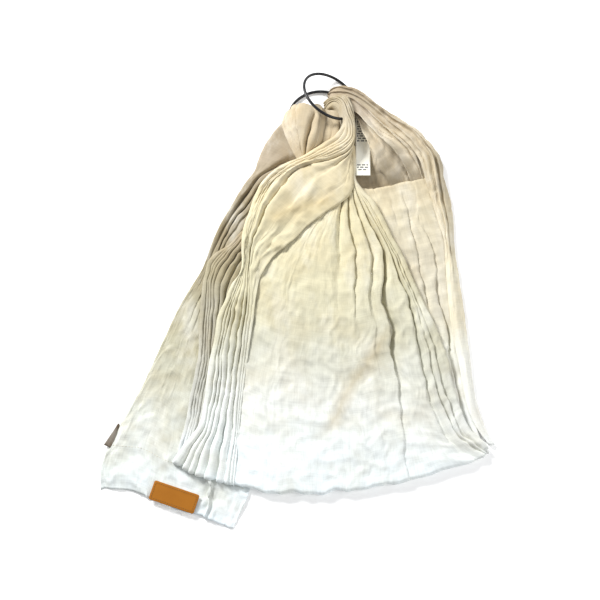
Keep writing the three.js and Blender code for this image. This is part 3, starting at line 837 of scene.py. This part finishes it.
def side_cloth():
    """The cloth's long edge: over the rings, along the shoulder and down the right side."""
    edge = [
        (52, 289, 4), (60, 294, 7), (72, 293, 9), (88, 285, 10), (110, 268, 9), (133, 253, 8),
        (157, 238, 6), (173, 223, 5), (187, 206, 5), (196, 187, 5), (199, 164, 5), (205, 133, 6),
        (209, 98, 6), (211, 63, 6), (219, -6, 6), (226, -74, 6), (233, -140, 6), (246, -182, 6),
        (255, -197, 5),
    ]
    middle = [
        (46, 287, 5), (51, 287, 18), (60, 285, 25), (74, 281, 26), (95, 267, 25), (109, 256, 22),
        (123, 246, 19), (139, 236, 17), (156, 225, 15), (170, 210, 13), (181, 192, 12),
        (187, 168, 12), (192, 135, 12), (199, 100, 12), (204, 60, 12), (209, 10, 12),
        (214, -40, 12), (222, -96, 11), (231, -150, 10), (243, -182, 8), (252, -197, 7),
    ]
    nose = [
        (45, 281, 6), (47, 276, 22), (58, 274, 29), (73, 272, 30), (91, 262, 29), (107, 248, 27),
        (120, 236, 24), (137, 219, 21), (150, 207, 18), (160, 194, 15), (166, 180, 14),
        (171, 163, 13), (175, 147, 12), (182, 127, 12), (190, 100, 12), (198, 75, 12),
        (200, 45, 12), (201, 17, 12), (206, -40, 12), (215, -96, 11), (225, -152, 10),
        (238, -181, 9), (248, -196, 8),
    ]
    folds = [
        Folds(2, (2, 4, 4, 1, 0, 0, 0), -0.4, 7, 0.3, (1, 1, 1, 0.6, 0.4), (2, 7, 8, 2, 0, 0, 0)),
        Folds(2, (2, 4, 4, 1, 0, 0, 0), -0.4, 7, 0.3, (1, 1.2, 1.2, 0.6, 0.4)),
    ]
    grid = cloth(
        [edge, middle, nose], folds, seed=53, sway=1.6, crumples=(0.7, 1.1, 1.2, 0.8, 0.6),
        left=Turn(0.8, 6), right=Turn((6, 18, 16, 9.5, 9.5, 9.5, 9, 7), 5), top=Turn(3, 4),
        bottom=Turn(1.0, 5),
    )
    return cloth_object("side_cloth", grid, linen("side_linen", SHOULDER_LIT_SHADED_TONES, 4, 0.5)), grid


def shoulder_cloth():
    """The inner part of the shoulder: full, soft folds that go under the back's top edge."""
    hidden = [
        (52, 284, 8), (60, 280, 18), (74, 276, 21), (95, 262, 20), (118, 246, 17), (140, 229, 14),
        (158, 210, 11), (172, 190, 9), (182, 168, 6), (187, 148, 3),
    ]
    outer = [
        (46, 279, 8), (50, 272, 18), (60, 270, 26), (75, 266, 28), (92, 253, 27), (108, 238, 25),
        (122, 226, 22), (138, 212, 19), (151, 199, 16), (163, 184, 11), (171, 165, 5),
        (173, 147, 2.5),
    ]
    lobe = [
        (48, 274, 7), (50, 268, 20), (60, 267, 26), (72, 264, 27), (82, 256, 26), (92, 243, 25),
        (101, 227, 25), (113, 212, 24), (128, 198, 21), (142, 182, 17), (152, 166, 9),
        (158, 148, 2.5),
    ]
    near_label = [
        (53, 269, 8), (60, 265, 12), (70, 262, 16), (79, 257, 19), (87, 248, 20), (93, 232, 20),
        (99, 214, 20), (105, 196, 20), (112, 180, 18), (122, 165, 12), (128, 152, 5),
        (130, 138, 2.5),
    ]
    beneath = [
        (58, 267, 8), (64, 262, 9), (70, 252, 10), (73, 235, 10), (75, 205, 8), (76, 180, 5),
        (78, 160, 3), (80, 136, 2.5),
    ]
    folds = [
        Folds(1, 0.5, wrinkles=1.5, last=(2, 5, 6, 5, 2, 1)),
        Folds(1, 3, -0.4, 12, 0.3, 1.2, (3, 9, 15, 15, 8, 2)),
        Folds(1, 3, -0.4, 12, 0.3, 1.2, (3, 9, 15, 15, 8, 2)),
        Folds(1, 2, -0.1, 6, 0.7, 1),
    ]
    grid = cloth(
        [hidden, outer, lobe, near_label, beneath], folds, seed=67, sway=1.4, crumples=(0.8, 1.1, 1.3),
        top=Turn(3, 4),
    )
    return cloth_object("shoulder_cloth", grid, linen("shoulder_linen", LOBE_LIT_SHADED_TONES, 5)), grid


def tail_wrap_cloth():
    """The tail's start: drawn down over the lower ring, pinched to a point under the front strap."""
    lines = [
        [(-3, 260, 6), (-8, 260, 10), (-12, 253, 15), (-13, 240, 18), (-9, 222, 18), (-3, 204, 15),
         (5, 186, 12), (9, 178, 10)],
        [(2, 263, 10), (1, 265, 20), (-1, 255, 30), (-2, 237, 36), (1, 217, 32), (5, 200, 25),
         (9, 186, 17), (11, 178, 13)],
        [(16, 263, 13), (20, 263, 25), (25, 249, 36), (20, 231, 39), (14, 211, 36), (12, 196, 28),
         (12, 185, 19), (13, 177, 15)],
        [(27, 261, 14), (31, 262, 25), (33, 248, 35), (31, 229, 38), (27, 208, 34), (21, 195, 27),
         (15, 184, 18), (14, 177, 14)],
        [(35, 256, 12), (39, 258, 16), (43, 244, 18), (43, 228, 18), (39, 206, 18), (29, 193, 16),
         (18, 183, 14), (15, 176, 12)],
    ]
    folds = [
        Folds(2, (2, 3, 1, 0, 0), -0.3, 5, 0.5, 1.4, (2, 2, 1, 0, 0)),
        Folds(1, 0, -0.1, 9, 0, 1.2, (1, 4, 9, 9, 1.4)),
        Folds(1, 0, 0.1, 10, 0, 1),
        Folds(1, 0, 0, 10, wrinkles=0.6),
    ]
    grid = cloth(
        lines, folds, seed=83, sway=0.9, crumples=0.9, left=Turn((4, 6, 8, 8, 8, 7), 5),
        right=Turn(10, 4), top=Turn(4, 3),
    )
    return cloth_object("tail_wrap_cloth", grid, linen("wrap_linen", WRAP_TONES, 6))


def inner_fold_cloth():
    """The shaded fold between the tail's wrap and the front strap."""
    lines = [
        [(35, 255, 18), (36, 238, 24), (36, 214, 28), (26, 190, 19)],
        [(46, 251, 24), (48, 234, 31), (46, 211, 32), (35, 192, 23)],
        [(58, 246, 28), (59, 228, 32), (55, 206, 32), (45, 196, 25)],
        [(68, 236, 30), (68, 219, 32), (62, 200, 31), (54, 195, 28)],
    ]
    folds = [Folds(1, 0, last=(2, 3, 2)), Folds(1, 0, 0.1, 8, last=(2, 4, 3)), Folds(1, 0)]
    grid = cloth(lines, folds, seed=97, sway=0.8, crumples=0.5, left=Turn(8, 4), top=Turn(12, 5))
    return cloth_object("inner_fold_cloth", grid, linen("inner_linen", WRAP_TONES, 7))


def back_left_cloth():
    """The back's own left edge, folded in narrow pleats that show beside the front."""
    left = [
        (-30, 128, 10), (-50, 105, 12), (-71, 86, 13), (-88, 67, 12), (-104, 56, 12),
        (-114, 44, 11), (-119, 25, 11), (-122, 5, 11), (-124, -15, 10), (-125, -46, 10),
        (-126, -79, 9), (-130, -106, 9), (-137, -140, 8), (-143, -176, 7), (-150, -203, 7),
        (-155, -222, 6),
    ]
    right = [
        (-25, 132, 12), (-42, 112, 14), (-60, 92, 15), (-75, 70, 15), (-90, 50, 14), (-100, 35, 13),
        (-107, 15, 13), (-109, -24, 12), (-111, -57, 12), (-112, -80, 11), (-116, -108, 11),
        (-122, -140, 10), (-126, -169, 9), (-134, -196, 9), (-142, -214, 8),
    ]
    hidden = [
        (-15, 130, 9), (-30, 108, 9), (-45, 82, 9), (-60, 55, 8), (-74, 30, 8), (-84, 0, 8),
        (-92, -30, 8), (-96, -70, 8), (-101, -108, 7), (-106, -145, 7), (-112, -180, 6),
        (-120, -205, 6), (-128, -222, 5),
    ]
    folds = [
        Folds(4, (1.5, 3.5, 5, 5, 5), -0.3, 6, 0.3),
        Folds(3, (1.5, 4, 6, 6, 6), -0.1, 8, 0.3, 1, (1.5, 5, 7, 7, 6)),
    ]
    grid = cloth(
        [left, right, hidden], folds, seed=103, sway=1.7, crumples=0.7,
        left=Turn((5, 5, 4, 3.5), 5), bottom=Turn(2, 6),
    )
    return cloth_object("back_left_cloth", grid, linen("back_left_shaded_linen", BACK_LEFT_SHADED_TONES, 8))


TAIL_LINES = [  # from the outer edge to the edge that lies under the pouch
    [(-6, 251, 10), (-19, 237, 10), (-34, 217, 10), (-46, 193, 9), (-53, 174, 9), (-67, 156, 8),
     (-82, 132, 8), (-93, 113, 7), (-103, 95, 6), (-113, 72, 5), (-126, 36, 4), (-136, 18, 4),
     (-156, -17, 3.5), (-181, -74, 3), (-210, -138, 3), (-233, -180, 3), (-252, -225, 2.5),
     (-253, -257, 2)],
    [(6, 232, 12), (11, 212, 13), (10, 196, 14), (-12, 187, 14), (-36, 174, 13), (-48, 167, 12),
     (-58, 156, 10), (-68, 143, 9), (-79, 127, 8), (-90, 109, 7), (-100, 91, 6), (-110, 69, 5),
     (-122, 34, 4), (-131, 14, 4), (-150, -20, 4), (-174, -77, 4), (-202, -141, 4),
     (-221, -183, 4), (-236, -230, 4), (-237, -258, 2.5)],
    [(9, 225, 11), (13, 206, 11), (10, 186, 11), (-8, 175, 12), (-26, 167, 12), (-44, 159, 12),
     (-54, 147, 12), (-62, 133, 11), (-72, 119, 10), (-84, 106, 9), (-94, 88, 8), (-103, 68, 6),
     (-114, 34, 5), (-122, 14, 4.5), (-138, -24, 4), (-160, -84, 4), (-182, -148, 4),
     (-197, -195, 4), (-204, -237, 4), (-207, -260, 2.5)],
    [(10, 220, 10), (14, 200, 9), (8, 175, 9), (-14, 152, 9), (-36, 134, 10), (-50, 118, 10),
     (-62, 102, 10), (-76, 84, 9), (-88, 68, 8), (-97, 52, 7), (-105, 30, 5), (-113, 0, 5),
     (-127, -50, 4), (-143, -110, 4), (-157, -170, 4), (-170, -240, 4), (-176, -273, 2.5)],
    [(11, 219, 9), (13, 200, 8), (7, 175, 7), (-11, 146, 6), (-31, 107, 5), (-50, 68, 4),
     (-66, 20, 3.5), (-78, -40, 3.5), (-92, -110, 3.5), (-106, -180, 3.5), (-114, -228, 3.5),
     (-117, -242, 3), (-114, -253, 2.5), (-118, -265, 2.6), (-116, -277, 2.6), (-123, -291, 2.5)],
    [(12, 218, 9), (12, 200, 8), (6, 175, 6), (-10, 145, 5), (-30, 105, 4), (-48, 65, 4),
     (-62, 20, 3.5), (-74, -40, 3.5), (-88, -110, 3.5), (-102, -180, 3.5), (-110, -228, 5.5),
     (-113, -242, 7), (-111, -253, 7.2), (-114, -265, 6.8), (-113, -277, 7), (-119, -293, 5)],
    [(12, 217, 9), (12, 200, 8), (6, 174, 6), (-9, 144, 5), (-29, 103, 4), (-46, 62, 4),
     (-58, 20, 3.5), (-70, -40, 3.5), (-84, -110, 3.5), (-98, -180, 3.5), (-106, -228, 3.5),
     (-109, -242, 2.6), (-107, -253, 2.5), (-110, -265, 2.5), (-109, -277, 2.5), (-114, -295, 2.5)],
    [(13, 215, 9), (12, 200, 8), (9, 175, 5), (2, 133, 4), (-6, 77, 3.5), (-19, -6, 3),
     (-32, -87, 3), (-44, -160, 3), (-52, -225, 3), (-60, -257, 3), (-82, -307, 2.5)],
]


def tail_cloth():
    """The tail: spread out flat from the rings, with diagonal folds at its start."""
    smooth = (0.8, 0.8, 0.8, 0.8, 0.6, 0.5, 0.4, 0.4)
    folds = [
        Folds(1, 0, (0, 0.1, 0.1, 0), 12, 0, smooth, (2, 8, 9, 4, 0, 0, 0, 0, 0, 0)),
        Folds(1, 0, (0.2, 0.2, 0.2, 0), 8, 0, smooth, (2, 5, 9, 9, 2, 0, 0, 0, 0)),
        Folds(2, (1, 4, 5, 3, 1, 0, 0, 0, 0), (0.2, 0.2, 0.2, 0), 8, 0.6, smooth,
              (1, 4, 8, 8, 3, 0, 0, 0, 0)),
        Folds(1, 0, wrinkles=smooth),
        Folds(1, 0, wrinkles=0.3),
        Folds(1, 0, wrinkles=0.3),
        Folds(1, 0, wrinkles=0.5),
    ]
    grid = cloth(
        TAIL_LINES, folds, seed=119, sway=2.0, crumples=(0.8, 1.0, 1.2, 1.6, 2.2), wave=3.5,
        left=Turn(0.8, 5), keep_low=0.5,
    )
    return cloth_object("tail_cloth", grid, linen("tail_linen", TAIL_TONES, 9, 0.5)), grid


# ---------------------------------------------------------------- rings and trim

def smooth_ring(name, node, material):
    """A round ring of wire in the place of its faceted CAD node."""
    points = np.array([v.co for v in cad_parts[node].data.vertices])
    centre = points.mean(axis=0)
    level, steep, axis = np.linalg.svd(points - centre, full_matrices=False)[2]
    around = np.linspace(0, 2 * math.pi, RING_STEPS, endpoint=False)[:, None, None]
    tube = np.linspace(0, 2 * math.pi, WIRE_STEPS, endpoint=False)[None, :, None]
    outward = np.cos(around) * level + np.sin(around) * steep
    grid = centre + outward * (RING_RADIUS + WIRE_RADIUS * np.cos(tube))
    grid = grid + axis * WIRE_RADIUS * np.sin(tube)
    faces = grid_faces(RING_STEPS, WIRE_STEPS, closed_rows=True, closed_cols=True)
    if np.dot(np.cross(level, steep), axis) > 0:
        faces = [face[::-1] for face in faces]
    ring = mesh_object(name, grid, faces)
    ring.data.materials.append(material)
    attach(ring, node)
    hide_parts(node)


def tube_mesh(paths, radius, sides=6):
    """One mesh of thin closed tubes, one along each path."""
    points, faces, start = [], [], 0
    angles = np.linspace(0, 2 * math.pi, sides, endpoint=False)
    for path in paths:
        path = np.asarray(path)
        along = unit(np.gradient(path, axis=0))
        side = unit(np.cross(along, np.array([0.13, 0.21, 0.97])))
        over = np.cross(along, side)
        ring = np.cos(angles)[None, :, None] * side[:, None] + np.sin(angles)[None, :, None] * over[:, None]
        taper = np.ones(len(path))
        taper[0] = taper[-1] = 0.45
        rings = path[:, None] + ring * radius * taper[:, None, None]
        points.append(rings.reshape(-1, 3))
        count = len(path)
        for i in range(count - 1):
            for j in range(sides):
                k = (j + 1) % sides
                faces.append((start + i * sides + j, start + i * sides + k,
                              start + (i + 1) * sides + k, start + (i + 1) * sides + j))
        faces.append([start + j for j in reversed(range(sides))])
        faces.append([start + (count - 1) * sides + j for j in range(sides)])
        start += count * sides
    return np.concatenate(points), faces


def stitches(name, path, material, stitch=3 * MM, gap=1.1 * MM, lift=0.25 * MM):
    """A row of stitches along a path: each one dips into the cloth at both its ends."""
    path = np.asarray(path)
    along = lengths(path)
    count = int(along[-1] // (stitch + gap))
    paths = []
    for k in range(count):
        at = k * (stitch + gap) + np.linspace(0, stitch, 5)
        points = np.stack([np.interp(at, along, path[:, axis]) for axis in range(3)], axis=1)
        points[:, 2] += lift * np.array([-0.6, 0.8, 1.0, 0.8, -0.6])
        paths.append(points)
    points, faces = tube_mesh(paths, THREAD_RADIUS)
    made = mesh_object(name, points, faces)
    made.data.materials.append(material)
    return made


def plate(name, centre, size, turn, corner, thickness, material):
    """A thin plate with rounded corners and softened edges, lying flat and turned by turn degrees."""
    half = size / 2
    outline = []
    for quarter, (sx, sy) in enumerate(((1, 1), (-1, 1), (-1, -1), (1, -1))):
        for angle in np.linspace(0, math.pi / 2, 8):
            a = angle + quarter * math.pi / 2
            outline.append((sx * (half[0] - corner) + corner * math.cos(a),
                            sy * (half[1] - corner) + corner * math.sin(a)))
    outline = np.array(outline)
    bevel = 0.35 * thickness
    stack = []
    for inset, height in ((bevel, 0), (bevel * 0.3, bevel * 0.3), (0, bevel), (0, thickness - bevel),
                          (bevel * 0.3, thickness - bevel * 0.3), (bevel, thickness),
                          (3 * bevel, thickness), (corner * 1.6, thickness)):
        shrink = 1 - inset / half
        stack.append(np.column_stack([outline * shrink, np.full(len(outline), height)]))
    points = np.array(stack)
    cosine, sine = math.cos(math.radians(turn)), math.sin(math.radians(turn))
    spin = np.array([[cosine, -sine, 0], [sine, cosine, 0], [0, 0, 1]])
    points = points @ spin.T + np.array(centre)
    faces = [face[::-1] for face in grid_faces(len(stack), len(outline), closed_cols=True)]
    count = len(outline)
    faces.append(list(reversed(range(count))))
    faces.append([(len(stack) - 1) * count + k for k in range(count)])
    made = mesh_object(name, points, faces)
    made.data.materials.append(material)
    return made


def highest_near(grids, x, y, reach=3 * MM):
    """The height of the uppermost cloth close to a point."""
    found = [grid[..., 2][np.hypot(grid[..., 0] - x, grid[..., 1] - y) < reach] for grid in grids]
    return float(np.concatenate(found).max())


def over(grids, start, end, count=24):
    """Points from start to end, laid on the uppermost of these cloths."""
    points = []
    for share in np.linspace(0, 1, count):
        x, y = np.array(start) * (1 - share) + np.array(end) * share
        points.append((x, y, highest_near(grids, x, y)))
    return points


# ---------------------------------------------------------------- assembly

def dress(piece, body, nodes):
    """Puts a cloth on its body and hides the CAD nodes that it stands in for."""
    if body:
        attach(piece, body)
    if nodes:
        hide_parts(*nodes)


def box_middle(node):
    low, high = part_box(node)
    return (low + high) / 2


def leather_patch(tail_grid):
    """The patch, its stitching and the loose thread ends under it."""
    centre = box_middle("leather_patch")
    height = highest_near([tail_grid], centre.x, centre.y, reach=24 * MM) - 0.3 * MM
    patch = plate("leather_patch_skin", (centre.x, centre.y, height), PATCH_SIZE, PATCH_TURN,
                  PATCH_CORNER, PATCH_THICKNESS, leather())
    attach(patch, "tail")
    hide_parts("leather_patch")

    turn = math.radians(PATCH_TURN)
    along = np.array([math.cos(turn), math.sin(turn), 0])
    up = np.array([-along[1], along[0], 0])
    middle = np.array([centre.x, centre.y, height + PATCH_THICKNESS])
    out, rise = PATCH_SIZE / 2 - PATCH_SEAM
    corners = [(-out, rise), (out, rise), (out, -rise), (-out, -rise), (-out, rise)]
    path = [middle + a * along + b * up for a, b in corners]
    sewn = stitches("patch_stitches", path, cotton("brown_thread", (0.20, 0.085, 0.02)), stitch=2 * MM)
    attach(sewn, "tail")
    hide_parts("patch_stitching")
    loose_threads(middle, along, up, height)


def loose_threads(middle, along, up, height):
    """Cut ends of white thread that come out under the patch's lower edge and sink to the cloth."""
    random = np.random.default_rng(5)
    share = np.linspace(0, 1, 5)[:, None]
    ends = []
    for _ in range(LOOSE_THREADS):
        start = middle + (random.uniform(-28, 29) * along - 11.5 * up) * MM
        drop = random.uniform(3, 8) * MM
        lean = random.uniform(-1, 1)
        end = start - up * drop * share + along * lean * drop * share**2
        end[:, 2] = height - 0.6 * MM * share[:, 0] + 0.2 * MM
        ends.append(end)
    points, faces = tube_mesh(ends, 0.22 * MM)
    loose = mesh_object("loose_threads", points, faces)
    loose.data.materials.append(cotton("white_thread", (0.82, 0.80, 0.72)))
    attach(loose, "tail")


def shaded_edge_sliver():
    """The bit of the tail's underside that is turned out at its outer edge, coloured dark as painted shade.
    """
    lines = [
        [(-233, -171, 3.2), (-239, -181, 3.6), (-245, -190, 3.4), (-251, -199, 3)],
        [(-232, -172, 3.4), (-237, -183, 4), (-241, -192, 3.8), (-247, -201, 3)],
        [(-231, -173, 2.8), (-235, -185, 3), (-238, -194, 2.8), (-243, -203, 2.4)],
    ]
    grid = cloth(lines, [Folds(1, 0), Folds(1, 0)], seed=131, sway=0.4, crumples=0.3, wave=0.5)
    # Painted shade: dark browns in place of the tail's own tan, for the shadow the sliver lies in under the
    # tail's edge.
    brown = [(-160, (0.10, 0.075, 0.05)), (-215, (0.26, 0.20, 0.14))]
    return cloth_object("shaded_edge_sliver", grid, linen("shaded_sliver_linen", brown, 10))


def hem_stitching(tail_grid, threads):
    """The row that holds the tail's end hem, a little above its edge."""
    row = tail_grid[-20, 8:-4] + np.array([0, 0, 0.2 * MM])
    sewn = stitches("hem_stitches", row, threads)
    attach(sewn, "tail")
    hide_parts("tail_hem_stitching")


def care_label(threads):
    """A limp satin strip, sewn on at its top edge."""
    rows, cols = 44, 12
    v, u = np.meshgrid(np.linspace(0, 1, rows), np.linspace(0, 1, cols), indexing="ij")
    x = LABEL_CORNER[0] + LABEL_WIDTH * u - 0.5 * v
    y = LABEL_CORNER[1] - LABEL_LENGTH * v
    z = 21.3 - 1.4 * v + 0.8 * np.sin(5 * v + 1) * v + 0.5 * noise(u, 5 * v, 7)
    grid = np.stack([x, y, z], axis=-1) * MM
    label = cloth_object("care_label_satin", grid, satin(), 0.2 * MM)
    dress(label, "label", ["care_label"])
    top = grid[1] + np.array([0, 0, 0.2 * MM])
    sewn = stitches("label_stitches", top, threads, stitch=2 * MM, gap=0.8 * MM)
    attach(sewn, "label")
    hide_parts("label_stitching")


def shoulder_stitching(grids, threads):
    """The rows that hold the gathered cloth round the rings."""
    for number in (1, 2, 3):
        node = f"shoulder_stitch_row_{number}"
        low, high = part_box(node)
        path = over(grids, (low.x, high.y), (high.x, low.y))
        sewn = stitches(f"shoulder_stitches_{number}", path, threads)
        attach(sewn, "sling")
        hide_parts(node)


def build():
    make_camera()
    make_studio()
    metal = ring_metal()
    smooth_ring("upper_ring_wire", "upper_ring", metal)
    smooth_ring("lower_ring_wire", "lower_ring", metal)
    cream_thread = cotton("cream_thread", (0.78, 0.74, 0.62))
    tan_thread = cotton("tan_thread", (0.52, 0.43, 0.30))

    strap = strap_cloth()
    dress(strap, "sling", ["front_strap", "front_left_pleats", "strap_roll"])
    front = front_centre_cloth()
    dress(front, "sling", ["front_panel", "front_right_pleats", "seat_fold"])
    back = back_cloth()
    dress(back, "sling", ["back_panel"])
    side, side_grid = side_cloth()
    dress(side, "sling", ["shoulder_loop"])
    shoulder, shoulder_grid = shoulder_cloth()
    dress(shoulder, "sling", ["shoulder_panel"])
    wrap = tail_wrap_cloth()
    dress(wrap, "sling", ["tail_wrap"])
    inner = inner_fold_cloth()
    dress(inner, "sling", ["inner_fold"])
    back_left = back_left_cloth()
    dress(back_left, "sling", ["back_left_pleats"])
    tail, tail_grid = tail_cloth()
    dress(tail, None,
          ["tail_panel", "tail_root", "tail_pleat_1", "tail_pleat_2", "tail_pleat_3", "tail_hem",
           "tail_side_hem"])
    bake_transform(tail)
    dress(shaded_edge_sliver(), "tail", [])
    leather_patch(tail_grid)
    hem_stitching(tail_grid, cream_thread)
    care_label(cream_thread)
    shoulder_stitching([side_grid, shoulder_grid], tan_thread)


build()
